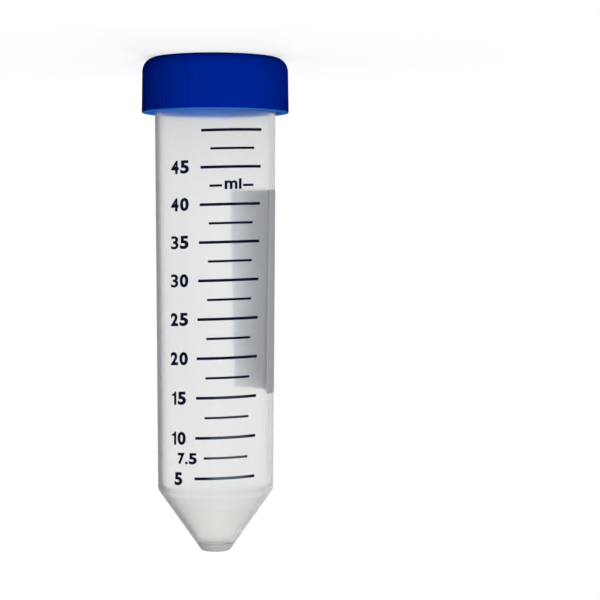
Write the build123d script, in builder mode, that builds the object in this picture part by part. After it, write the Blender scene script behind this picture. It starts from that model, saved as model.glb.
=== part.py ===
from build123d import *
from math import atan, atan2, cos, degrees, pi, radians, sin, tan
import os

os.makedirs("parts", exist_ok=True)

# A 50 ml conical tube with its screw cap, standing upside down on the flat top of the cap.
# Lengths are in mm and angles in degrees. The axis of the tube is Z, and the tip points up.

# Tube
tube_length = 116.5  # mouth rim to tip
mouth_diameter = 29.05  # outside of the neck at the rim
shoulder_diameter = 27.7  # outside of the body where the cone begins
mouth_wall = 0.75
shoulder_wall = 1.0
rim_chamfer = 0.2
cone_height = 14.9
tip_diameter = 6.7  # across the flat tip, before its edge is rounded
tip_edge_radius = 0.8
tip_thickness = 2.4
bore_tip_radius = 2.2  # rounded bottom of the bore
gate_diameter = 2.6  # shallow recess where the plastic was injected
gate_depth = 0.35

# Screw thread on the neck: one right-handed start
thread_pitch = 4.0
thread_turns = 1.75
thread_height = 1.0
thread_root_width = 2.0
thread_crest_width = 0.9
thread_embed = 0.3  # how deep the ridge is rooted in the wall
thread_offset = 3.2  # mouth rim to the middle of the first turn
thread_runout_angle = 10.0  # slope of the ramp at each end of the ridge

# Screw cap
cap_skirt_wall = 1.775  # at the open edge
cap_height = 13.25
cap_draft = 0.9
cap_top_wall = 1.7
cap_shoulder_radius = 3.3
cap_edge_chamfer = 0.3
cap_mouth_chamfer = 0.4
cap_corner_chamfer = 0.6  # inside, between the skirt and the top wall
rib_count = 90
groove_depth = 0.15  # V-shaped grooves part the ribs
groove_width = 0.62
groove_margin = 0.2  # plain skirt between the rounded shoulder and the grooves
skirt_lip = 0.9  # plain band at the open edge
thread_clearance = 0.3  # cap bore to thread crest
seat_clearance = 0.1  # top wall of the cap to mouth rim
plug_height = 2.4  # ring inside the cap that plugs the mouth
plug_wall = 0.9
plug_clearance = 0.15
plug_lead = 0.35  # chamfer that guides the plug into the mouth

# Printed scale and writing panel
ink_thickness = 0.1
ink_gap = 0.015  # keeps the curved films just clear of the wall
first_volume = 5.0  # lowest mark, in ml
volume_step = 2.5
scale_margin = 3.0  # the scale stops this far short of the cap
unit_step = 15  # the bar with room for the unit sign, counted from the lowest
unit_gap = 20.4  # how far round the tube that room goes
major_sweep = 61.8  # length of the long bars round the tube
minor_sweep = 43.9
major_width = 0.6
minor_width = 0.5
scale_angle = -106.2  # direction of the middle of the scale, seen from above
scale_drift = 0.095  # how far the column of bars turns for each mm of height
bar_tilt = 1.7
panel_angle = 155.7
panel_sweep = 100.0
panel_height = 48.5
panel_offset = 18.2  # skirt edge to the panel

# Derived heights and radii
rim_z = cap_top_wall + seat_clearance
tip_z = rim_z + tube_length
shoulder_z = tip_z - cone_height
mouth_radius = mouth_diameter / 2
shoulder_radius = shoulder_diameter / 2
mouth_bore = mouth_radius - mouth_wall
shoulder_bore = shoulder_radius - shoulder_wall
tip_radius = tip_diameter / 2
body_length = shoulder_z - rim_z
cone_slope = (shoulder_radius - tip_radius) / cone_height
bore_shoulder_z = shoulder_z - shoulder_wall * tan(atan(cone_slope) / 2)
bore_end_z = tip_z - tip_thickness
cone_bore = shoulder_bore - cone_slope * (bore_end_z - bore_shoulder_z)
cap_bore = mouth_radius + thread_height + thread_clearance
cap_radius = cap_bore + cap_skirt_wall
lean = radians(cap_draft)
cap_crown_radius = cap_radius - cap_height * tan(lean)
half_pitch = 180 / rib_count
plug_radius = mouth_bore - plug_clearance
plug_end_z = cap_top_wall + plug_height
thread_rise = thread_pitch * thread_turns
thread_start_z = rim_z + thread_offset
runout_length = thread_height / tan(radians(thread_runout_angle))
cubic_mm_per_ml = 1000
near = 0.01  # how close to a height an edge lies to be picked by it


def wall_radius(z):
    """Outside radius of the tapered body at a height."""
    return mouth_radius + (shoulder_radius - mouth_radius) * (z - rim_z) / body_length


def mark_z(volume):
    """Height at which the tube, held tip down, is filled to a volume in ml."""
    taper = (mouth_bore - shoulder_bore) / (bore_shoulder_z - rim_z)
    bore_depth = bore_end_z - bore_shoulder_z
    rings = shoulder_bore**2 + shoulder_bore * cone_bore + cone_bore**2
    cone_volume = pi / 3 * bore_depth * rings
    filled = volume * cubic_mm_per_ml - cone_volume
    level_bore = (shoulder_bore**3 + 3 * taper * filled / pi) ** (1 / 3)
    return bore_shoulder_z - (level_bore - shoulder_bore) / taper


def radial_plane(angle, z=0.0, tilt=0.0, turned=0.0):
    """Plane of a section that is turned, about an upright that tilts, from a direction."""
    out = Vector(1, 0, 0).rotate(Axis.Z, angle)
    upright = Vector(0, 0, 1).rotate(Axis((0, 0, 0), out), tilt)
    section_out = out.rotate(Axis((0, 0, 0), upright), turned)
    return Plane(origin=(0, 0, z), x_dir=section_out, z_dir=section_out.cross(upright))


# Thread: a helical ridge, with both ends cut to a ramp
with BuildPart() as thread_ridge:
    helix = Helix(
        pitch=thread_pitch,
        height=thread_rise,
        radius=wall_radius(thread_start_z),
        center=(0, 0, thread_start_z),
    )
    with BuildSketch(Plane(origin=helix @ 0, x_dir=(1, 0, 0), z_dir=helix % 0)):
        with BuildLine():
            Polyline(
                (-thread_embed, -thread_root_width / 2),
                (thread_height, -thread_crest_width / 2),
                (thread_height, thread_crest_width / 2),
                (-thread_embed, thread_root_width / 2),
                close=True,
            )
        make_face()
    sweep(path=helix, is_frenet=True)
    for end, turn in ((helix @ 0, thread_runout_angle), (helix @ 1, -thread_runout_angle)):
        around = degrees(atan2(end.Y, end.X))
        with Locations(Location((end.X, end.Y, end.Z), (0, 0, around - turn))):
            Box(
                2 * thread_height,
                2 * runout_length,
                thread_pitch,
                align=(Align.MIN, Align.CENTER, Align.CENTER),
                mode=Mode.SUBTRACT,
            )

# Tube: one moulded wall, turned from its section
with BuildPart() as tube:
    with BuildSketch(Plane.XZ):
        with BuildLine():
            Polyline(
                (0, tip_z),
                (tip_radius, tip_z),
                (shoulder_radius, shoulder_z),
                (mouth_radius, rim_z),
                (mouth_bore, rim_z),
                (shoulder_bore, bore_shoulder_z),
                (cone_bore, bore_end_z),
                (0, bore_end_z),
                close=True,
            )
        make_face()
    revolve(axis=Axis.Z)
    tip_edge = tube.edges().filter_by(GeomType.CIRCLE).group_by(Axis.Z)[-1]
    fillet(tip_edge, tip_edge_radius)
    rim_edges = tube.edges().filter_by(GeomType.CIRCLE).group_by(Axis.Z)[0]
    chamfer(rim_edges, rim_chamfer)
    bore_bottom = tube.edges().filter_by(GeomType.CIRCLE).filter_by_position(
        Axis.Z, bore_end_z - near, bore_end_z + near
    )
    fillet(bore_bottom, bore_tip_radius)
    with Locations((0, 0, tip_z)):
        Cylinder(
            gate_diameter / 2,
            gate_depth,
            align=(Align.CENTER, Align.CENTER, Align.MAX),
            mode=Mode.SUBTRACT,
        )
    add(thread_ridge.part)
tube.part.label = "tube"

# One groove between two ribs, leaning with the skirt, with a point towards the axis
with BuildPart() as groove:
    groove_start_z = cap_shoulder_radius + groove_margin
    groove_radius = cap_radius - (cap_height - groove_start_z) * tan(lean)
    groove_plane = Plane(
        origin=(groove_radius, 0, groove_start_z),
        x_dir=(cos(lean), 0, -sin(lean)),
        z_dir=(sin(lean), 0, cos(lean)),
    )
    with BuildSketch(groove_plane):
        with BuildLine():
            Polyline(
                (-groove_depth, 0),
                (groove_depth, -groove_width),
                (groove_depth, groove_width),
                close=True,
            )
        make_face()
    extrude(amount=(cap_height - skirt_lip - groove_start_z) / cos(lean))

# Screw cap: a ribbed skirt and a flat top, with the ring that plugs the mouth
with BuildPart() as cap:
    with BuildSketch(Plane.XZ):
        with BuildLine():
            Polyline(
                (0, 0),
                (cap_crown_radius, 0),
                (cap_radius, cap_height),
                (cap_bore, cap_height),
                (cap_bore, cap_top_wall),
                (plug_radius, cap_top_wall),
                (plug_radius, plug_end_z),
                (plug_radius - plug_wall, plug_end_z),
                (plug_radius - plug_wall, cap_top_wall),
                (0, cap_top_wall),
                close=True,
            )
        make_face()
    revolve(axis=Axis.Z)
    crown_edge = cap.edges().filter_by(GeomType.CIRCLE).group_by(Axis.Z)[0]
    fillet(crown_edge, cap_shoulder_radius)
    skirt_edges = cap.edges().filter_by(GeomType.CIRCLE).group_by(Axis.Z)[-1].sort_by(SortBy.RADIUS)
    chamfer(skirt_edges[-1], cap_edge_chamfer)
    chamfer(skirt_edges[0], cap_mouth_chamfer)
    corner_edges = cap.edges().filter_by(GeomType.CIRCLE).filter_by_position(
        Axis.Z, cap_top_wall - near, cap_top_wall + near
    )
    chamfer(corner_edges.sort_by(SortBy.RADIUS)[-1], cap_corner_chamfer)
    plug_edges = cap.edges().filter_by(GeomType.CIRCLE).filter_by_position(
        Axis.Z, plug_end_z - near, plug_end_z + near
    )
    chamfer(plug_edges, plug_lead)
    with PolarLocations(0, rib_count, half_pitch):
        add(groove.part, mode=Mode.SUBTRACT)
cap.part.label = "cap"


def ink_section(low_z, high_z, middle_z):
    """Closed section of an ink film on the wall, with heights counted from its middle."""
    low = wall_radius(low_z) + ink_gap
    high = wall_radius(high_z) + ink_gap
    return Polyline(
        (low, low_z - middle_z),
        (low + ink_thickness, low_z - middle_z),
        (high + ink_thickness, high_z - middle_z),
        (high, high_z - middle_z),
        close=True,
    )


# Writing panel: a pale film on the wall beside the scale
with BuildPart() as writing_panel:
    panel_z = cap_height + panel_offset
    with BuildSketch(radial_plane(panel_angle - panel_sweep / 2)):
        with BuildLine():
            ink_section(panel_z, panel_z + panel_height, 0)
        make_face()
    revolve(axis=Axis.Z, revolution_arc=panel_sweep)
writing_panel.part.label = "writing_panel"

# Graduation bars: long ones at each 5 ml, short ones between them
with BuildPart() as graduation_marks:
    bar_heights = [mark_z(first_volume)]
    while mark_z(first_volume + len(bar_heights) * volume_step) > cap_height + scale_margin:
        bar_heights.append(mark_z(first_volume + len(bar_heights) * volume_step))
    middle_z = (bar_heights[0] + bar_heights[-1]) / 2
    for step, bar_z in enumerate(bar_heights):
        major = step % 2 == 0
        bar_width = major_width if major else minor_width
        bar_sweep = major_sweep if major else minor_sweep
        bar_angle = scale_angle + scale_drift * (bar_z - middle_z)
        bar_starts = [-bar_sweep / 2]
        if step == unit_step:
            bar_sweep = (bar_sweep - unit_gap) / 2
            bar_starts.append(unit_gap / 2)
        for bar_start in bar_starts:
            bar_end = radial_plane(bar_angle, bar_z, bar_tilt, bar_start)
            with BuildSketch(bar_end):
                with BuildLine():
                    ink_section(bar_z - bar_width / 2, bar_z + bar_width / 2, bar_z)
                make_face()
            revolve(axis=Axis(bar_end.origin, bar_end.y_dir), revolution_arc=bar_sweep)
graduation_marks.part.label = "graduation_marks"

export_step(tube.part, "parts/tube.step")
export_step(cap.part, "parts/cap.step")
export_step(writing_panel.part, "parts/writing_panel.step")
export_step(graduation_marks.part, "parts/graduation_marks.step")
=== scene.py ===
import bmesh
import bpy
from math import atan, cos, pi, radians, sin, tan
from mathutils import Matrix, Vector


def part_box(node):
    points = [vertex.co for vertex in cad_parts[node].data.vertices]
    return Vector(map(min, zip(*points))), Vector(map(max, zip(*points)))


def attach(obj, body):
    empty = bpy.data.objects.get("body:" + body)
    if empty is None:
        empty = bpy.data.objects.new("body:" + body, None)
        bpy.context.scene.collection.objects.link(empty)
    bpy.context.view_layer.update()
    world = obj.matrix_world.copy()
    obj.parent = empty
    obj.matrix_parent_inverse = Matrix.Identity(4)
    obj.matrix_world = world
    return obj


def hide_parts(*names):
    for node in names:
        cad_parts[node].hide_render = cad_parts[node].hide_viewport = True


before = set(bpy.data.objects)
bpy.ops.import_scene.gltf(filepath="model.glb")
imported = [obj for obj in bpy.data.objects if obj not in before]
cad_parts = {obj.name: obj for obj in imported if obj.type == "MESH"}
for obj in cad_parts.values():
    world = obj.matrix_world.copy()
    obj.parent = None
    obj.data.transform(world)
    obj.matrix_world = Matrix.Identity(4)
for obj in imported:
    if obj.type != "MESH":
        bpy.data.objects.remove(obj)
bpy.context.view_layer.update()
print("frame loaded: a screw cap tube standing on its cap")

mm = 0.001
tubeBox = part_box("tube")
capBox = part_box("cap")
rimZ = tubeBox[0][2]  # mouth of the tube, inside the cap
tipZ = tubeBox[1][2]
skirtZ = capBox[1][2]  # open edge of the cap


# Small helpers: wire a socket or set it, place a node, and do sums with sockets
def feed(tree, socket, value):
    if isinstance(value, bpy.types.NodeSocket):
        tree.links.new(value, socket)
    else:
        socket.default_value = value


def place(tree, kind, inputs=None, **settings):
    made = tree.nodes.new(kind)
    for name, value in settings.items():
        setattr(made, name, value)
    for name, value in (inputs or {}).items():
        feed(tree, made.inputs[name], value)
    return made


def calc(tree, operation, *values):
    made = tree.nodes.new("ShaderNodeMath")
    made.operation = operation
    for socket, value in zip(made.inputs, values):
        feed(tree, socket, value)
    return made.outputs[0]


def add(tree, first, second):
    return calc(tree, "ADD", first, second)


def subtract(tree, first, second):
    return calc(tree, "SUBTRACT", first, second)


def times(tree, first, second):
    return calc(tree, "MULTIPLY", first, second)


def divide(tree, first, second):
    return calc(tree, "DIVIDE", first, second)


def larger(tree, first, second):
    return calc(tree, "MAXIMUM", first, second)


def smaller(tree, first, second):
    return calc(tree, "MINIMUM", first, second)


def clamped(tree, value):
    return smaller(tree, larger(tree, value, 0.0), 1.0)


def startTree(name, wanted):
    tree = bpy.data.node_groups.new(name, "GeometryNodeTree")
    tree.interface.new_socket(name="Geometry", in_out="INPUT", socket_type="NodeSocketGeometry")
    tree.interface.new_socket(name="Geometry", in_out="OUTPUT", socket_type="NodeSocketGeometry")
    for label, kind in wanted.items():
        tree.interface.new_socket(name=label, in_out="INPUT", socket_type="NodeSocket" + kind)
    given = tree.nodes.new("NodeGroupInput").outputs
    result = tree.nodes.new("NodeGroupOutput").inputs
    return tree, given, result


# Every tree ends in real geometry with its material
def endTree(tree, result, geometry, material):
    solid = place(tree, "GeometryNodeRealizeInstances", {"Geometry": geometry})
    coated = place(tree, "GeometryNodeSetMaterial", {"Geometry": solid.outputs[0], "Material": material})
    tree.links.new(coated.outputs[0], result["Geometry"])


def aroundAxis(tree, radius, angle, height):
    return place(tree, "ShaderNodeCombineXYZ", {
        "X": times(tree, radius, calc(tree, "COSINE", angle)),
        "Y": times(tree, radius, calc(tree, "SINE", angle)),
        "Z": height}).outputs[0]


# Runs a tree on a starting mesh and keeps only the plain mesh that comes out
def grow(name, start, tree, values, sharpAngle=50):
    piece = bpy.data.objects.new(name, start)
    bpy.context.scene.collection.objects.link(piece)
    modifier = piece.modifiers.new("shape", "NODES")
    modifier.node_group = tree
    for item in tree.interface.items_tree:
        if item.in_out == "INPUT" and item.name in values:
            modifier[item.identifier] = values[item.name]
    graph = bpy.context.evaluated_depsgraph_get()
    finished = bpy.data.meshes.new_from_object(piece.evaluated_get(graph))
    piece.modifiers.remove(modifier)
    piece.data = finished
    finished.name = name
    for face in finished.polygons:
        face.use_smooth = True
    finished.set_sharp_from_angle(angle=radians(sharpAngle))
    return piece


# A piece that moves with a body and stands in for its solid
def hangOn(piece, body, node):
    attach(piece, body)
    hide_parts(node)


# Loose points with named values on each, which a tree reads
def pointMesh(name, points, values):
    mesh = bpy.data.meshes.new(name)
    mesh.from_pydata(points, [], [])
    for label, column in values.items():
        layer = mesh.attributes.new(label, "FLOAT", "POINT")
        for index, value in enumerate(column):
            layer.data[index].value = value
    return mesh


# A profile's rows hold radius, height, thread share and rib share
def profileMesh(name, rows):
    radii, heights, threadShares, ribShares = zip(*rows)
    points = [(radius, 0.0, height) for radius, height in zip(radii, heights)]
    return pointMesh(name, points, {"threadShare": threadShares, "ribShare": ribShares})


# Rounds the corner between two straight walls with a few points
def rounded(before, corner, after, radius, steps=6):
    toBefore = (Vector(before) - Vector(corner)).normalized()
    toAfter = (Vector(after) - Vector(corner)).normalized()
    half = toBefore.angle(toAfter) / 2
    centre = Vector(corner) + (toBefore + toAfter).normalized() * radius / sin(half)
    first = Vector(corner) + toBefore * radius / tan(half) - centre
    last = Vector(corner) + toAfter * radius / tan(half) - centre
    sweep = first.angle(last)
    points = []
    for step in range(steps + 1):
        share = step / steps
        firstPart = sin((1 - share) * sweep) / sin(sweep)
        lastPart = sin(share * sweep) / sin(sweep)
        point = centre + first * firstPart + last * lastPart
        points.append((point.x, point.y))
    return points


# The points of a turned piece, one list for each corner (radius, height, rounding); a
# support point on either side of a bend keeps the shading even along the walls
def outline(corners, support=0.25 * mm):
    def along(end, anchor):
        gap = Vector(anchor) - Vector(end)
        extra = Vector(end) + gap.normalized() * min(support, gap.length / 3)
        return extra.x, extra.y

    bends = []
    for index, (radius, height, rounding) in enumerate(corners):
        corner = (radius, height)
        if rounding == 0:
            bends.append([corner])
            continue
        before = corners[index - 1][:2]
        after = corners[(index + 1) % len(corners)][:2]
        bend = rounded(before, corner, after, rounding)
        bends.append([along(bend[0], before), *bend, along(bend[-1], after)])
    return bends


def chained(bends):
    return [point for bend in bends for point in bend]


# Adds rows along a wall so that a thread or ribs have points to move
def divided(points, lowZ, highZ, spacing, clearOfEnds=0.002):
    rows = []
    for point, following in zip(points, points[1:]):
        rows.append(point)
        rise = following[1] - point[1]
        if rise == 0:
            continue
        cuts = []
        height = lowZ
        while height <= highZ:
            share = (height - point[1]) / rise
            if clearOfEnds < share < 1 - clearOfEnds:
                cuts.append(share)
            height += spacing
        for share in sorted(cuts):
            rows.append((point[0] + (following[0] - point[0]) * share, point[1] + rise * share))
    rows.append(points[-1])
    return rows


# Turned profile: every profile row goes once round the axis; a single-start thread and
# straight ribs push it in or out where the row's own shares allow them
def turnedTree():
    weld = 0.002 * mm
    phaseShift = 0.0001  # keeps a rib's edge off the rounding errors of the columns
    tree, given, result = startTree("turnedProfile", {
        "Segments": "Int", "Pitch": "Float", "Turns": "Float", "Start": "Float",
        "Height": "Float", "Root": "Float", "Crest": "Float", "Runout": "Float",
        "Ribs": "Int", "Rib Depth": "Float", "Rib Gap": "Float", "Material": "Material",
    })
    count = place(tree, "GeometryNodeAttributeDomainSize", {0: given["Geometry"]}).outputs["Point Count"]
    columns = add(tree, given["Segments"], 1.0)
    grid = place(tree, "GeometryNodeMeshGrid", {
        "Size X": 1.0, "Size Y": 1.0, "Vertices X": count, "Vertices Y": columns})
    index = place(tree, "GeometryNodeInputIndex").outputs[0]
    row = calc(tree, "FLOOR", divide(tree, add(tree, index, 0.5), columns))
    column = subtract(tree, index, times(tree, row, columns))
    around = divide(tree, column, given["Segments"])

    def atRow(value, kind):
        return place(tree, "GeometryNodeSampleIndex", {
            "Geometry": given["Geometry"], "Value": value, "Index": row}, data_type=kind).outputs[0]

    def share(label):
        named = place(tree, "GeometryNodeInputNamedAttribute", {"Name": label}, data_type="FLOAT")
        return atRow(named.outputs["Attribute"], "FLOAT")

    position = place(tree, "GeometryNodeInputPosition").outputs[0]
    where = place(tree, "ShaderNodeSeparateXYZ", {0: atRow(position, "FLOAT_VECTOR")}).outputs

    # Thread: how far the point lies from the nearest turn, as height over the flanks
    rise = divide(tree, subtract(tree, where["Z"], given["Start"]), given["Pitch"])
    along = add(tree, calc(tree, "ROUND", subtract(tree, rise, around)), around)
    away = times(tree, calc(tree, "ABSOLUTE", subtract(tree, rise, along)), given["Pitch"])
    flank = divide(tree, subtract(tree, given["Root"], given["Crest"]), 2.0)
    within = subtract(tree, divide(tree, given["Root"], 2.0), away)
    ridge = clamped(tree, divide(tree, within, flank))
    toEnd = smaller(tree, along, subtract(tree, given["Turns"], along))
    fade = clamped(tree, divide(tree, toEnd, given["Runout"]))
    full = times(tree, share("threadShare"), given["Height"])
    thread = times(tree, times(tree, ridge, fade), full)

    # Ribs: a groove of the gap's width between each two
    phase = calc(tree, "FRACT", add(tree, times(tree, around, given["Ribs"]), phaseShift))
    offCentre = calc(tree, "ABSOLUTE", subtract(tree, phase, 0.5))
    groove = clamped(tree, subtract(tree, 1.0, divide(tree, offCentre, divide(tree, given["Rib Gap"], 2.0))))
    rib = times(tree, groove, times(tree, share("ribShare"), given["Rib Depth"]))

    radius = subtract(tree, add(tree, where["X"], thread), rib)
    point = aroundAxis(tree, radius, times(tree, around, 2 * pi), where["Z"])
    moved = place(tree, "GeometryNodeSetPosition", {"Geometry": grid.outputs["Mesh"], "Position": point})
    joined = place(tree, "GeometryNodeMergeByDistance", {"Geometry": moved.outputs[0], "Distance": weld})
    endTree(tree, result, joined.outputs[0], given["Material"])
    return tree


# Wrapped strips: a flat strip for each point of the starting mesh, laid round the
# tapered wall at that point's angle, height, length and width
def wrappedTree():
    tree, given, result = startTree("wrappedStrips", {
        "Mouth Radius": "Float", "Shoulder Radius": "Float", "Low Z": "Float", "High Z": "Float",
        "Gap": "Float", "Thickness": "Float", "Tilt": "Float", "Drift": "Float", "Steps": "Int",
        "Material": "Material",
    })
    strip = place(tree, "GeometryNodeMeshCube", {
        "Size": (1.0, 1.0, 1.0), "Vertices X": given["Steps"], "Vertices Y": 2, "Vertices Z": 2})
    position = place(tree, "GeometryNodeInputPosition").outputs[0]
    stored = place(tree, "GeometryNodeStoreNamedAttribute", {
        "Geometry": strip.outputs["Mesh"], "Name": "flat", "Value": position,
    }, data_type="FLOAT_VECTOR", domain="POINT")
    copies = place(tree, "GeometryNodeInstanceOnPoints", {
        "Points": given["Geometry"], "Instance": stored.outputs[0]})
    solid = place(tree, "GeometryNodeRealizeInstances", {"Geometry": copies.outputs[0]})

    def reading(label, kind="FLOAT"):
        named = place(tree, "GeometryNodeInputNamedAttribute", {"Name": label}, data_type=kind)
        return named.outputs["Attribute"]

    def wall(height):
        span = subtract(tree, given["High Z"], given["Low Z"])
        share = divide(tree, subtract(tree, height, given["Low Z"]), span)
        taper = subtract(tree, given["Shoulder Radius"], given["Mouth Radius"])
        return add(tree, given["Mouth Radius"], times(tree, taper, share))

    flat = place(tree, "ShaderNodeSeparateXYZ", {0: reading("flat", "FLOAT_VECTOR")}).outputs
    turn = times(tree, flat["X"], reading("sweep"))
    lift = times(tree, flat["Y"], reading("width"))
    lean = times(tree, lift, given["Drift"])
    angle = add(tree, add(tree, reading("angle"), lean), turn)
    slope = times(tree, calc(tree, "SINE", turn), calc(tree, "TANGENT", given["Tilt"]))
    level = add(tree, reading("height"), lift)
    height = add(tree, level, times(tree, slope, wall(level)))
    film = times(tree, add(tree, flat["Z"], 0.5), given["Thickness"])
    radius = add(tree, add(tree, wall(height), given["Gap"]), film)
    point = aroundAxis(tree, radius, angle, height)
    moved = place(tree, "GeometryNodeSetPosition", {"Geometry": solid.outputs[0], "Position": point})
    endTree(tree, result, moved.outputs[0], given["Material"])
    return tree


# Studio: a white room that is darker in front and to one side; lamps are given by name,
# power, size and place, and the camera hangs upside down so that the cap comes out on top
stage = {
    "floorRadius": 1.6, "floorSegments": 96, "floorTone": (0.5, 0.5, 0.5, 1), "floorRoughness": 0.9, "floorGlow": 0.7,
    "farFrom": 0.02, "farSpan": 0.06,  # where the floor turns into a plain backdrop
    "ambient": 0.03, "backdrop": 1.06,
    "backdropShade": 0.048, "shadeFrom": 0.1,  # painted shade: the backdrop seen straight through the wall is darker close to the cap
    "mirrored": (0.25, 0.9), "mirroredSpan": (-0.5, 0.5),  # what surfaces mirror, from front to back
    "darkSide": 0.4, "darkSpan": (-0.1, 0.4),  # and how much less of it to one side
    "lamps": [
        ("keyLamp", 3.8, 0.3, (-0.12, -0.60, 0.10)),
        ("backLamp", 3.8, 0.18, (-0.04, 0.62, 0.10)),
        ("topLamp", 1.3, 0.5, (0.05, -0.05, 0.75)),
    ],
    "lens": 120.35, "nearClip": 0.01, "cameraPlace": (-0.0203, -0.4819, 0.0447), "pitch": 1.583,
}


# Materials
def newMaterial(name):
    material = bpy.data.materials.new(name)
    material.use_nodes = True
    tree = material.node_tree
    shader = tree.nodes["Principled BSDF"]
    coords = place(tree, "ShaderNodeTexCoord").outputs["Object"]
    return material, tree, shader, coords


# Runs from one level to the other while the value crosses a span
def ramp(tree, value, span, levels=(0.0, 1.0), curve="SMOOTHSTEP"):
    return place(tree, "ShaderNodeMapRange", {
        "Value": value, "From Min": span[0], "From Max": span[1], "To Min": levels[0], "To Max": levels[1],
    }, interpolation_type=curve).outputs[0]


def mixColour(tree, factor, first, second):
    mixed = place(tree, "ShaderNodeMix", {"Factor": factor, "A": first, "B": second}, data_type="RGBA")
    return mixed.outputs["Result"]


def noise(tree, coords, scale, detail, roughness=0.5):
    return place(tree, "ShaderNodeTexNoise", {
        "Vector": coords, "Scale": scale, "Detail": detail, "Roughness": roughness}).outputs["Fac"]


def roughen(tree, shader, height, strength, distance):
    bump = place(tree, "ShaderNodeBump", {"Height": height, "Strength": strength, "Distance": distance})
    tree.links.new(bump.outputs[0], shader.inputs["Normal"])


# Two heights, given in mm below the tip
def belowTip(start, end):
    return tipZ - start * mm, tipZ - end * mm


def capPlastic():
    look = {
        # inside is a painted lit copy of the blue, used on the bore and the open edge
        "deep": (0.0, 0.017, 0.285, 1), "light": (0.0, 0.019, 0.315, 1), "inside": (0.03, 0.20, 0.74, 1),
        "roughness": 0.45, "roughnessSpread": 0.1, "gloss": 0.0,
        "cloudScale": 90.0, "grainScale": 2600.0, "grainStrength": 0.25, "grainDepth": 0.02 * mm,
        "boreSpan": (16.0 * mm, 16.4 * mm), "floorSpan": (0.8 * mm, 1.2 * mm),
        "lipSpan": (skirtZ - 0.3 * mm, skirtZ - 0.1 * mm),
    }
    material, tree, shader, coords = newMaterial("mouldedBlueCap")
    grain = noise(tree, coords, look["grainScale"], 3.0, 0.6)
    cloud = noise(tree, coords, look["cloudScale"], 2.0)
    spot = place(tree, "ShaderNodeSeparateXYZ", {0: coords}).outputs
    flat = place(tree, "ShaderNodeCombineXYZ", {"X": spot["X"], "Y": spot["Y"]}).outputs[0]
    reach = place(tree, "ShaderNodeVectorMath", {0: flat}, operation="LENGTH").outputs["Value"]
    bore = ramp(tree, reach, look["boreSpan"], (1.0, 0.0), "LINEAR")
    deep = ramp(tree, spot["Z"], look["floorSpan"], curve="LINEAR")
    lip = ramp(tree, spot["Z"], look["lipSpan"], curve="LINEAR")
    within = larger(tree, times(tree, bore, deep), lip)  # painted light: the bore and the open edge get a paler, lit copy of the blue
    tone = mixColour(tree, cloud, look["deep"], look["light"])
    tree.links.new(mixColour(tree, within, tone, look["inside"]), shader.inputs["Base Color"])
    rough = add(tree, look["roughness"], times(tree, grain, look["roughnessSpread"]))
    tree.links.new(rough, shader.inputs["Roughness"])
    shader.inputs["Specular IOR Level"].default_value = look["gloss"]
    roughen(tree, shader, grain, look["grainStrength"], look["grainDepth"])
    return material


def clearPlastic():
    look = {
        "wallTint": (0.926, 0.936, 0.934, 1), "coneTint": (0.93, 0.93, 0.908, 1), "coneTintSpan": belowTip(15, 7),
        "milk": (0.46, 0.46, 0.45, 1), "coneMilk": 0.12, "coneMilkSpan": belowTip(17, 9),
        "tipMilk": 0.8, "tipMilkSpan": belowTip(2.3, 1.0),
        "clear": 0.987, "edgeClear": 0.08, "edgeSpan": (0.64, 0.94), "ior": 1.47,
        "roughness": 0.11, "roughnessSpread": 0.03, "hazeScale": 140.0,
        "coneRoughness": 0.11, "coneRoughnessSpan": belowTip(17, 13),
        "rippleScale": 60.0, "rippleStrength": 0.2, "rippleDepth": 0.05 * mm,
        "depthTint": (0.30, 0.31, 0.31, 1), "density": 15.0, "lampShare": 0.99,
    }
    material, tree, shader, coords = newMaterial("milkyClearWall")
    height = place(tree, "ShaderNodeSeparateXYZ", {0: coords}).outputs["Z"]
    cone = ramp(tree, height, look["coneMilkSpan"], (0.0, look["coneMilk"]))
    base = ramp(tree, height, look["tipMilkSpan"], (0.0, look["tipMilk"]))
    thick = add(tree, cone, base)
    tint = mixColour(tree, ramp(tree, height, look["coneTintSpan"]), look["wallTint"], look["coneTint"])
    tree.links.new(mixColour(tree, thick, tint, look["milk"]), shader.inputs["Base Color"])
    slant = place(tree, "ShaderNodeLayerWeight", {"Blend": 0.5}).outputs["Facing"]
    edge = ramp(tree, slant, look["edgeSpan"], (look["clear"], look["edgeClear"]))
    clear = times(tree, edge, subtract(tree, 1.0, thick))
    tree.links.new(clear, shader.inputs["Transmission Weight"])
    shader.inputs["IOR"].default_value = look["ior"]
    haze = noise(tree, coords, look["hazeScale"], 3.0)
    even = add(tree, look["roughness"], times(tree, haze, look["roughnessSpread"]))
    coarse = ramp(tree, height, look["coneRoughnessSpan"], (0.0, look["coneRoughness"]))
    tree.links.new(add(tree, even, coarse), shader.inputs["Roughness"])
    ripple = noise(tree, coords, look["rippleScale"], 1.0)
    roughen(tree, shader, ripple, look["rippleStrength"], look["rippleDepth"])
    shadow = place(tree, "ShaderNodeLightPath").outputs["Is Shadow Ray"]
    through = place(tree, "ShaderNodeBsdfTransparent", {"Color": (1, 1, 1, 1)})
    lampFactor = times(tree, shadow, look["lampShare"])  # lamps shine through the wall
    blend = place(tree, "ShaderNodeMixShader", {0: lampFactor, 1: shader.outputs[0], 2: through.outputs[0]})
    absorb = place(tree, "ShaderNodeVolumeAbsorption", {
        "Color": look["depthTint"], "Density": look["density"]})
    out = tree.nodes["Material Output"]
    tree.links.new(blend.outputs[0], out.inputs["Surface"])
    tree.links.new(absorb.outputs[0], out.inputs["Volume"])
    return material


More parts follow.
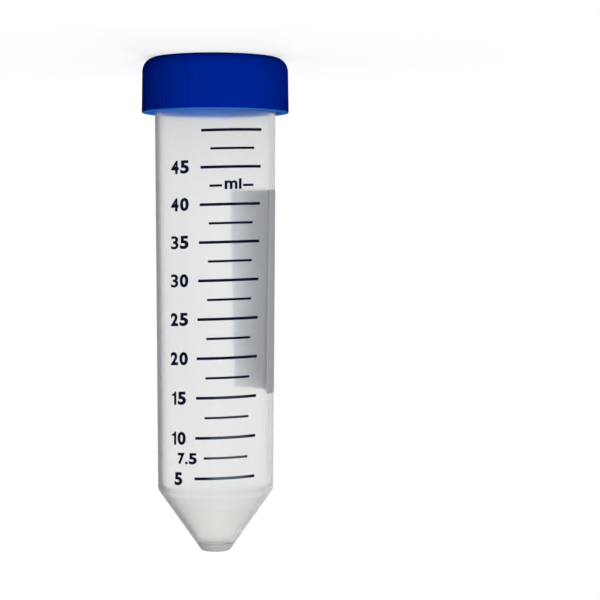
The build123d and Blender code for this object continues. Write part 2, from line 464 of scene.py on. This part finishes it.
def printInk():
    look = {
        "dark": (0.0008, 0.002, 0.008, 1), "light": (0.006, 0.013, 0.045, 1), "patchScale": 700.0,
        "paler": (0.085, 0.115, 0.14, 1), "palerAside": 3.6 * mm, "palerReach": (2.5 * mm, 6 * mm),
        "palerSpan": belowTip(44, 17), "roughness": 0.6, "gloss": 0.05,
    }
    material, tree, shader, coords = newMaterial("navyInk")
    patches = noise(tree, coords, look["patchScale"], 4.0, 0.6)
    spot = place(tree, "ShaderNodeSeparateXYZ", {0: coords}).outputs
    # The ink is paler in a band 2.5 to 6 mm either side of x = -3.6 mm, full up to 17 mm below the tip and gone by 44
    # mm below it
    aside = calc(tree, "ABSOLUTE", add(tree, spot["X"], look["palerAside"]))
    middle = ramp(tree, aside, look["palerReach"], (1.0, 0.0))
    low = ramp(tree, spot["Z"], look["palerSpan"], curve="LINEAR")
    tone = mixColour(tree, patches, look["dark"], look["light"])
    palerInk = mixColour(tree, times(tree, middle, low), tone, look["paler"])
    tree.links.new(palerInk, shader.inputs["Base Color"])
    shader.inputs["Roughness"].default_value = look["roughness"]
    shader.inputs["Specular IOR Level"].default_value = look["gloss"]
    return material


def panelPaint():
    look = {
        "dark": (0.475, 0.495, 0.54, 1), "light": (0.54, 0.557, 0.60, 1),
        "backlitUnderside": (0.82, 0.85, 0.895, 1),  # the side that lies on the wall, in a painted lit tone for light shining through the paint from behind
        "roughness": 0.85, "gloss": 0.05, "sheen": 0.25, "sheenRoughness": 0.5,
        "grainScale": 1800.0, "grainStrength": 0.3, "grainDepth": 0.02 * mm,
    }
    material, tree, shader, coords = newMaterial("frostedPanelPaint")
    grain = noise(tree, coords, look["grainScale"], 3.0, 0.6)
    facing = place(tree, "ShaderNodeTexCoord").outputs["Normal"]
    outward = place(tree, "ShaderNodeVectorMath", {0: facing, 1: coords}, operation="DOT_PRODUCT").outputs["Value"]
    # painted light: the side on the wall is lighter, for light that comes through the paint from behind
    backlitSide = calc(tree, "LESS_THAN", outward, 0.0)
    tone = mixColour(tree, grain, look["dark"], look["light"])
    tree.links.new(mixColour(tree, backlitSide, tone, look["backlitUnderside"]), shader.inputs["Base Color"])
    shader.inputs["Roughness"].default_value = look["roughness"]
    shader.inputs["Specular IOR Level"].default_value = look["gloss"]
    shader.inputs["Sheen Weight"].default_value = look["sheen"]
    shader.inputs["Sheen Roughness"].default_value = look["sheenRoughness"]
    roughen(tree, shader, grain, look["grainStrength"], look["grainDepth"])
    return material


# Brightness of the room as a surface mirrors it, by compass direction
def roomLevel(tree, heading):
    parts = place(tree, "ShaderNodeSeparateXYZ", {0: heading}).outputs
    room = ramp(tree, parts["Y"], stage["mirroredSpan"], stage["mirrored"])
    side = ramp(tree, parts["X"], stage["darkSpan"], (1.0, stage["darkSide"]))
    return times(tree, room, side)


# The floor keeps its shadow near the cap and turns into a plain backdrop further out
def paleFloor():
    material, tree, shader, coords = newMaterial("paleFloor")
    shader.inputs["Base Color"].default_value = stage["floorTone"]
    shader.inputs["Roughness"].default_value = stage["floorRoughness"]
    shader.inputs["Specular IOR Level"].default_value = 0.0
    rays = place(tree, "ShaderNodeLightPath").outputs
    indirect = larger(tree, rays["Is Glossy Ray"], rays["Is Transmission Ray"])
    seen = larger(tree, rays["Is Camera Ray"], indirect)
    glow = place(tree, "ShaderNodeEmission", {
        "Color": (1, 1, 1, 1), "Strength": times(tree, seen, stage["floorGlow"])})
    near = place(tree, "ShaderNodeAddShader", {0: shader.outputs[0], 1: glow.outputs[0]})
    away = place(tree, "ShaderNodeVectorMath", {0: coords}, operation="LENGTH").outputs["Value"]
    heading = place(tree, "ShaderNodeVectorMath", {0: coords}, operation="NORMALIZE").outputs["Vector"]
    # painted shade on the backdrop near the cap, for rays that come straight through the wall
    shade = divide(tree, stage["backdropShade"], larger(tree, away, stage["shadeFrom"]))
    straight = subtract(tree, stage["backdrop"], shade)
    bounced = smaller(tree, rays["Glossy Depth"], 1.0)
    direct = times(tree, subtract(tree, 1.0, bounced), straight)
    level = add(tree, times(tree, bounced, roomLevel(tree, heading)), direct)
    plain = place(tree, "ShaderNodeEmission", {
        "Color": (1, 1, 1, 1), "Strength": larger(tree, rays["Is Camera Ray"], level)})
    share = clamped(tree, divide(tree, subtract(tree, away, stage["farFrom"]), stage["farSpan"]))
    far = times(tree, share, seen)
    blend = place(tree, "ShaderNodeMixShader", {0: far, 1: near.outputs[0], 2: plain.outputs[0]})
    tree.links.new(blend.outputs[0], tree.nodes["Material Output"].inputs["Surface"])
    return material


blueMaterial = capPlastic()
clearMaterial = clearPlastic()
inkMaterial = printInk()
panelMaterial = panelPaint()
floorMaterial = paleFloor()
print("materials made")

turned = turnedTree()
wrapped = wrappedTree()

# Tube: one moulded wall with its thread, mouth down
tube = {
    "mouthRadius": 14.525 * mm, "shoulderRadius": 13.85 * mm, "tipRadius": 3.35 * mm,
    "mouthWall": 0.75 * mm, "shoulderWall": 1.0 * mm, "coneHeight": 14.9 * mm,
    "tipWall": 2.4 * mm, "floorDrop": 0.5 * mm, "gateRadius": 1.3 * mm, "gateDepth": 0.35 * mm,
    "gateRounding": 0.1 * mm, "gateEdgeRounding": 0.08 * mm, "tipRounding": 0.8 * mm,
    "shoulderRounding": 2.2 * mm, "rimRounding": 0.2 * mm,
    "boreShoulderRounding": 4.0 * mm, "boreEndRounding": 2.0 * mm,
    "pitch": 4.0 * mm, "turns": 1.75, "threadStart": 3.2 * mm, "threadHeight": 1.0 * mm,
    "threadRoot": 1.7 * mm, "threadCrest": 0.9 * mm, "runout": 0.062,  # runout as a share of a turn
    "segments": 288, "rowSpacing": 0.1 * mm,
}
shoulderZ = tipZ - tube["coneHeight"]
mouthBore = tube["mouthRadius"] - tube["mouthWall"]
shoulderBore = tube["shoulderRadius"] - tube["shoulderWall"]
coneSlope = (tube["shoulderRadius"] - tube["tipRadius"]) / tube["coneHeight"]
boreShoulderZ = shoulderZ - tube["shoulderWall"] * tan(atan(coneSlope) / 2)
boreEndZ = tipZ - tube["tipWall"]
coneBore = shoulderBore - coneSlope * (boreEndZ - boreShoulderZ)


def wallRadius(z):
    share = (z - rimZ) / (shoulderZ - rimZ)
    return tube["mouthRadius"] + (tube["shoulderRadius"] - tube["mouthRadius"]) * share


def makeTube():
    gateZ = tipZ - tube["gateDepth"]
    floorZ = boreEndZ + tube["floorDrop"]
    outerCorners = [
        (0.0, gateZ, 0),
        (tube["gateRadius"], gateZ, tube["gateRounding"]),
        (tube["gateRadius"], tipZ, tube["gateEdgeRounding"]),
        (tube["tipRadius"], tipZ, tube["tipRounding"]),
        (tube["shoulderRadius"], shoulderZ, tube["shoulderRounding"]),
        (tube["mouthRadius"], rimZ, tube["rimRounding"]),
    ]
    innerCorners = [
        (mouthBore, rimZ, tube["rimRounding"]),
        (shoulderBore, boreShoulderZ, tube["boreShoulderRounding"]),
        (coneBore - coneSlope * tube["floorDrop"], floorZ, tube["boreEndRounding"]),
        (0.0, floorZ, 0),
    ]
    startZ = rimZ + tube["threadStart"]
    threadLow = startZ - tube["threadRoot"]
    threadHigh = startZ + tube["pitch"] * tube["turns"] + tube["threadRoot"]
    bends = outline(outerCorners + innerCorners)
    outside = divided(chained(bends[:len(outerCorners)]), threadLow, threadHigh, tube["rowSpacing"])
    inside = chained(bends[len(outerCorners):])
    rows = [(r, z, 1.0 if threadLow <= z <= threadHigh else 0.0, 0.0) for r, z in outside]
    rows += [(r, z, 0.0, 0.0) for r, z in inside]
    return grow("tubeBody", profileMesh("tubeProfile", rows), turned, {
        "Segments": tube["segments"], "Pitch": tube["pitch"], "Turns": tube["turns"],
        "Start": startZ, "Height": tube["threadHeight"],
        "Root": tube["threadRoot"], "Crest": tube["threadCrest"], "Runout": tube["runout"],
        "Ribs": 1, "Rib Depth": 0.0, "Rib Gap": 0.5, "Material": clearMaterial})


tubePiece = makeTube()
hangOn(tubePiece, "tube", "tube")
print("tube turned:", len(tubePiece.data.polygons), "faces")

# Screw cap: ribbed skirt, flat top, plug ring and its own thread, which points inwards
cap = {
    "bore": 15.825 * mm, "radius": 17.6 * mm, "draft": 0.9, "topWall": 1.7 * mm,
    "crownRounding": 3.3 * mm, "skirtRounding": 0.3 * mm, "mouthRounding": 0.4 * mm, "cornerRounding": 0.6 * mm,
    "plugRadius": 13.625 * mm, "plugWall": 0.9 * mm, "plugHeight": 2.4 * mm,
    "plugRounding": 0.3 * mm, "plugFootRounding": 0.15 * mm,
    "ribs": 90, "ribDepth": 0.10 * mm, "ribGap": 0.5, "ribMargin": 0.2 * mm, "lip": 0.9 * mm,
    "ribRise": 0.4 * mm, "ribFall": 0.3 * mm,  # how fast the grooves deepen at either end
    "threadHeight": -0.9 * mm, "threadRoot": 1.4 * mm, "threadCrest": 0.7 * mm,
    "threadShift": 2.0 * mm, "threadTurns": 1.4, "runout": 0.06,
    "segments": 540, "skirtRows": 0.25 * mm, "skirtRowsEnd": 0.5 * mm, "boreRows": 0.15 * mm,
}


def makeCap():
    crown = cap["radius"] - skirtZ * tan(radians(cap["draft"]))
    plugBore = cap["plugRadius"] - cap["plugWall"]
    plugZ = cap["topWall"] + cap["plugHeight"]
    outerCorners = [
        (0.0, 0.0, 0),
        (crown, 0.0, cap["crownRounding"]),
        (cap["radius"], skirtZ, cap["skirtRounding"]),
    ]
    innerCorners = [
        (cap["bore"], skirtZ, cap["mouthRounding"]),
        (cap["bore"], cap["topWall"], cap["cornerRounding"]),
        (cap["plugRadius"], cap["topWall"], cap["plugFootRounding"]),
        (cap["plugRadius"], plugZ, cap["plugRounding"]),
        (plugBore, plugZ, cap["plugRounding"]),
        (plugBore, cap["topWall"], cap["plugFootRounding"]),
        (0.0, cap["topWall"], 0),
    ]
    startZ = rimZ + tube["threadStart"] + cap["threadShift"]
    threadLow = startZ - cap["threadRoot"]
    threadHigh = threadLow + tube["pitch"] * cap["threadTurns"] + 2 * cap["threadRoot"]
    bends = outline(outerCorners + innerCorners)
    outside = divided(chained(bends[:len(outerCorners)]), cap["crownRounding"],
                      skirtZ - cap["skirtRowsEnd"], cap["skirtRows"])
    inside = divided(chained(bends[len(outerCorners):]), threadLow, threadHigh, cap["boreRows"])
    ribLow = cap["crownRounding"] + cap["ribMargin"]
    ribHigh = skirtZ - cap["lip"]
    boreFrom = (cap["plugRadius"] + cap["bore"]) / 2  # the thread is on the bore, not on the plug
    rows = []
    for r, z in outside:
        rise = min(max((z - ribLow) / cap["ribRise"], 0), 1)
        fall = min(max((ribHigh - z) / cap["ribFall"], 0), 1)
        rows.append((r, z, 0.0, rise * fall))
    for r, z in inside:
        rows.append((r, z, 1.0 if r > boreFrom else 0.0, 0.0))
    rows.reverse()  # the same way round as the tube's profile, so that faces point outwards
    return grow("screwCap", profileMesh("capProfile", rows), turned, {
        "Segments": cap["segments"], "Pitch": tube["pitch"], "Turns": cap["threadTurns"],
        "Start": startZ, "Height": cap["threadHeight"],
        "Root": cap["threadRoot"], "Crest": cap["threadCrest"], "Runout": cap["runout"],
        "Ribs": cap["ribs"], "Rib Depth": cap["ribDepth"], "Rib Gap": cap["ribGap"], "Material": blueMaterial})


capPiece = makeCap()
hangOn(capPiece, "cap", "cap")
print("cap turned:", len(capPiece.data.polygons), "faces")

# Print: bars, numbers and a writing panel; angles count to the right as the scale is read,
# with the cap up, from the middle of the side that faces the viewer
printed = {
    "front": -90,  # the viewer's side, in degrees seen from above
    "gap": 0.015 * mm, "thickness": 0.03 * mm, "tilt": 1.7, "drift": 0.095,  # drift in degrees for each mm
    "barAngle": 16.2, "majorSweep": 61.8, "minorSweep": 43.9, "majorWidth": 0.67 * mm, "minorWidth": 0.56 * mm,
    "firstVolume": 5.0, "lastVolume": 50.0, "volumeStep": 2.5, "unitVolume": 42.5, "unitGap": 20.4,
    "barSteps": 41, "panelSteps": 97,
    "panelAngle": 155.7, "panelSweep": 100.0, "panelHeight": 48.5 * mm, "panelOffset": 18.2 * mm, "panelTilt": 1.0,
}
millilitre = 1e-6


# Height at which the tube, held tip down, is filled to a volume in ml
def markHeight(volume):
    taper = (mouthBore - shoulderBore) / (boreShoulderZ - rimZ)
    depth = boreEndZ - boreShoulderZ
    coneVolume = pi / 3 * depth * (shoulderBore**2 + shoulderBore * coneBore + coneBore**2)
    filled = volume * millilitre - coneVolume
    level = (shoulderBore**3 + 3 * taper * filled / pi) ** (1 / 3)
    return boreShoulderZ - (level - shoulderBore) / taper


middleZ = (markHeight(printed["firstVolume"]) + markHeight(printed["lastVolume"])) / 2


# Direction of the column of bars at a height, in degrees seen from above
def barDirection(height):
    return printed["front"] - printed["barAngle"] + printed["drift"] * (height - middleZ) / mm


# Strips hold angle, height, sweep and width, one row for each strip
def wrapStrips(name, strips, steps, tilt, material):
    values = dict(zip(("angle", "height", "sweep", "width"), zip(*strips)))
    start = pointMesh(name + "Places", [(0.0, 0.0, 0.0)] * len(strips), values)
    return grow(name, start, wrapped, {
        "Mouth Radius": tube["mouthRadius"], "Shoulder Radius": tube["shoulderRadius"],
        "Low Z": rimZ, "High Z": shoulderZ, "Gap": printed["gap"], "Thickness": printed["thickness"],
        "Tilt": radians(tilt), "Drift": radians(printed["drift"]) / mm, "Steps": steps, "Material": material})


def makeBars():
    strips = []
    steps = round((printed["lastVolume"] - printed["firstVolume"]) / printed["volumeStep"])
    for step in range(steps + 1):
        volume = printed["firstVolume"] + step * printed["volumeStep"]
        major = step % 2 == 0
        sweep = printed["majorSweep"] if major else printed["minorSweep"]
        width = printed["majorWidth"] if major else printed["minorWidth"]
        height = markHeight(volume)
        angle = barDirection(height)
        if volume == printed["unitVolume"]:
            dash = (sweep - printed["unitGap"]) / 2
            for side in (-1, 1):
                turn = side * (sweep - dash) / 2
                shift = wallRadius(height) * radians(turn) * tan(radians(printed["tilt"]))
                strips.append((radians(angle + turn), height + shift, radians(dash), width))
        else:
            strips.append((radians(angle), height, radians(sweep), width))
    return wrapStrips("scaleBars", strips, printed["barSteps"], printed["tilt"], inkMaterial)


barPiece = makeBars()
hangOn(barPiece, "tube", "graduation_marks")
print("bars printed:", len(barPiece.data.polygons), "faces")


def makePanel():
    height = skirtZ + printed["panelOffset"] + printed["panelHeight"] / 2
    strips = [(radians(printed["panelAngle"]), height, radians(printed["panelSweep"]), printed["panelHeight"])]
    return wrapStrips("writingPanel", strips, printed["panelSteps"], printed["panelTilt"], panelMaterial)


panelPiece = makePanel()
hangOn(panelPiece, "tube", "writing_panel")
print("writing panel printed")

# Numbers: what is written, the volume it stands beside, its height in mm and a turn aside
# from the column; strokes, gaps and sign sizes are shares of the number's height
numbers = {
    "column": -34.9, "drift": 0.05,  # the column's place, in degrees, and its lean for each mm
    "lift": 0.12 * mm, "stretch": 0.0047,
    "stroke": 0.044, "finer": {"3": 0.024, "4": 0.041, "m": 0.032}, "curveSteps": 5, "weld": 1e-3,
    "spacing": 0.14, "beforePoint": 0.03, "afterPoint": 0.1, "cut": 0.3 * mm,
    "labels": [
        ("45", 45.0, 3.12, 0.0), ("40", 40.0, 3.12, 0.0), ("35", 35.0, 3.12, 0.0),
        ("30", 30.0, 3.12, 0.0), ("25", 25.0, 3.12, 0.0), ("20", 20.0, 3.12, 0.0),
        ("15", 15.0, 3.12, 0.0), ("10", 10.0, 3.12, 0.0), ("7.5", 7.5, 2.7, 10.0),
        ("5", 5.0, 3.12, 0.0), ("ml", 42.57, 2.55, 52.8),
    ],
    "one": [(0.5, 0), (1, 0), (1, 1), (0.66, 1), (0.5, 0.88), (0.2, 0.81), (0, 0.8), (0, 0.67), (0.5, 0.67)],
    "plain": (0.76, 1.0),  # width and height of every other sign
    "signs": {"1": (0.46, 1.0), ".": (0.27, 0.25), "m": (1.22, 0.8), "l": (0.27, 0.97), "7": (0.74, 1.0)},
}


# A flat sign that fills a box one unit wide and high
def flatSign(sign):
    flat = bmesh.new()
    if sign == "1":
        flat.faces.new([flat.verts.new((x, y, 0)) for x, y in numbers["one"]])
        return flat
    curve = bpy.data.curves.new("sign", "FONT")
    curve.body = sign
    curve.offset = numbers["finer"].get(sign, numbers["stroke"])
    curve.resolution_u = numbers["curveSteps"]
    holder = bpy.data.objects.new("sign", curve)
    bpy.context.scene.collection.objects.link(holder)
    graph = bpy.context.evaluated_depsgraph_get()
    flat.from_mesh(bpy.data.meshes.new_from_object(holder.evaluated_get(graph)))
    bpy.data.objects.remove(holder)
    bmesh.ops.remove_doubles(flat, verts=flat.verts, dist=numbers["weld"])
    bmesh.ops.dissolve_degenerate(flat, edges=flat.edges, dist=numbers["weld"])
    bmesh.ops.delete(flat, geom=[item for item in flat.edges if not item.link_faces], context="EDGES")
    bmesh.ops.delete(flat, geom=[item for item in flat.verts if not item.link_faces], context="VERTS")
    lowX, highX = min(v.co.x for v in flat.verts), max(v.co.x for v in flat.verts)
    lowY, highY = min(v.co.y for v in flat.verts), max(v.co.y for v in flat.verts)
    for v in flat.verts:
        v.co.x = (v.co.x - lowX) / (highX - lowX)
        v.co.y = (v.co.y - lowY) / (highY - lowY)
    return flat


# Adds one part to the whole and frees it
def addTo(whole, part):
    mesh = bpy.data.meshes.new("part")
    part.to_mesh(mesh)
    part.free()
    whole.from_mesh(mesh)
    bpy.data.meshes.remove(mesh)


# A printed word: flat signs in a row, cut into upright strips, bent round the wall and
# thickened; it follows the same slope as the bars
def wrapWord(word, tall, angle, height):
    letters = bmesh.new()
    cursor = 0.0
    for sign, following in zip(word, word[1:] + " "):
        wide, high = numbers["signs"].get(sign, numbers["plain"])
        flat = flatSign(sign)
        flat.transform(Matrix.Translation((cursor, 0, 0)) @ Matrix.Diagonal((wide * tall, high * tall, 1, 1)))
        addTo(letters, flat)
        gap = numbers["spacing"]
        if sign == ".":
            gap = numbers["afterPoint"]
        if following == ".":
            gap = numbers["beforePoint"]
        cursor += (wide + gap) * tall
    width = cursor - numbers["spacing"] * tall
    at = numbers["cut"]
    while at < width:
        parts = letters.verts[:] + letters.edges[:] + letters.faces[:]
        bmesh.ops.bisect_plane(letters, geom=parts, plane_co=(at, 0, 0), plane_no=(1, 0, 0))
        at += numbers["cut"]
    slope = tan(radians(printed["tilt"]))
    middle = radians(barDirection(height))
    for v in letters.verts:
        z = height - (v.co.y - tall / 2)
        turn = radians(printed["front"] - angle) - (v.co.x - width / 2) / wallRadius(z)
        z += slope * wallRadius(z) * (turn - middle)
        radius = wallRadius(z) + printed["gap"]
        v.co = (radius * cos(turn), radius * sin(turn), z)
    for face in letters.faces:
        face.normal_update()
        if face.normal.xy.dot(face.calc_center_median().xy) < 0:
            face.normal_flip()
    front = bmesh.ops.extrude_face_region(letters, geom=letters.faces[:])["geom"]
    for v in (item for item in front if isinstance(item, bmesh.types.BMVert)):
        share = 1 + printed["thickness"] / v.co.xy.length
        v.co = (v.co.x * share, v.co.y * share, v.co.z)
    bmesh.ops.recalc_face_normals(letters, faces=letters.faces)
    return letters


def makeNumbers():
    whole = bmesh.new()
    for word, volume, tall, aside in numbers["labels"]:
        height = markHeight(volume) - numbers["lift"]
        height += numbers["stretch"] * (height - middleZ)
        angle = numbers["column"] - numbers["drift"] * (height - middleZ) / mm + aside
        addTo(whole, wrapWord(word, tall * mm, angle, height))
    mesh = bpy.data.meshes.new("scaleNumbers")
    whole.to_mesh(mesh)
    whole.free()
    mesh.materials.append(inkMaterial)
    piece = bpy.data.objects.new("scaleNumbers", mesh)
    bpy.context.scene.collection.objects.link(piece)
    return piece


numberPiece = makeNumbers()
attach(numberPiece, "tube")
print("numbers printed:", len(numberPiece.data.polygons), "faces")


# Floor, lamps, world and camera
def makeFloor():
    mesh = bpy.data.meshes.new("floor")
    sheet = bmesh.new()
    bmesh.ops.create_circle(sheet, cap_ends=True, segments=stage["floorSegments"], radius=stage["floorRadius"])
    for face in sheet.faces:
        if face.normal.z < 0:
            face.normal_flip()
    sheet.to_mesh(mesh)
    sheet.free()
    mesh.materials.append(floorMaterial)
    floor = bpy.data.objects.new("floor", mesh)
    bpy.context.scene.collection.objects.link(floor)


def makeLamp(name, power, size, spot, target):
    lamp = bpy.data.lights.new(name, "AREA")
    lamp.energy = power
    lamp.size = size
    holder = bpy.data.objects.new(name, lamp)
    holder.visible_glossy = False
    holder.visible_transmission = False
    holder.location = spot
    holder.rotation_euler = (Vector(target) - Vector(spot)).to_track_quat("-Z", "Y").to_euler()
    bpy.context.scene.collection.objects.link(holder)


# The world is white to the eye and through the wall, shaded where a surface mirrors it,
# and nearly dark as a light, because the lamps do that work
def makeWorld():
    world = bpy.data.worlds.new("studio")
    bpy.context.scene.world = world
    world.use_nodes = True
    tree = world.node_tree
    rays = place(tree, "ShaderNodeLightPath").outputs
    bounced = smaller(tree, rays["Glossy Depth"], 1.0)
    straight = times(tree, rays["Is Transmission Ray"], subtract(tree, 1.0, bounced))
    seen = larger(tree, rays["Is Camera Ray"], times(tree, straight, stage["backdrop"]))
    room = roomLevel(tree, place(tree, "ShaderNodeTexCoord").outputs["Generated"])
    indirect = larger(tree, rays["Is Glossy Ray"], rays["Is Transmission Ray"])
    mirrored = times(tree, times(tree, indirect, bounced), room)
    level = larger(tree, stage["ambient"], larger(tree, seen, mirrored))
    back = tree.nodes["Background"]
    back.inputs["Color"].default_value = (1, 1, 1, 1)
    tree.links.new(level, back.inputs["Strength"])


def makeCamera():
    camera = bpy.data.cameras.new("camera")
    camera.lens = stage["lens"]
    camera.clip_start = stage["nearClip"]
    holder = bpy.data.objects.new("camera", camera)
    holder.location = stage["cameraPlace"]
    holder.rotation_euler = (radians(-90 - stage["pitch"]), 0, radians(180))
    bpy.context.scene.collection.objects.link(holder)
    bpy.context.scene.camera = holder


makeFloor()
for name, power, size, spot in stage["lamps"]:
    makeLamp(name, power, size, spot, (0.0, 0.0, tipZ / 2))
makeWorld()
makeCamera()
bpy.context.scene.view_settings.view_transform = "Standard"
print("stage, lamps and camera set")
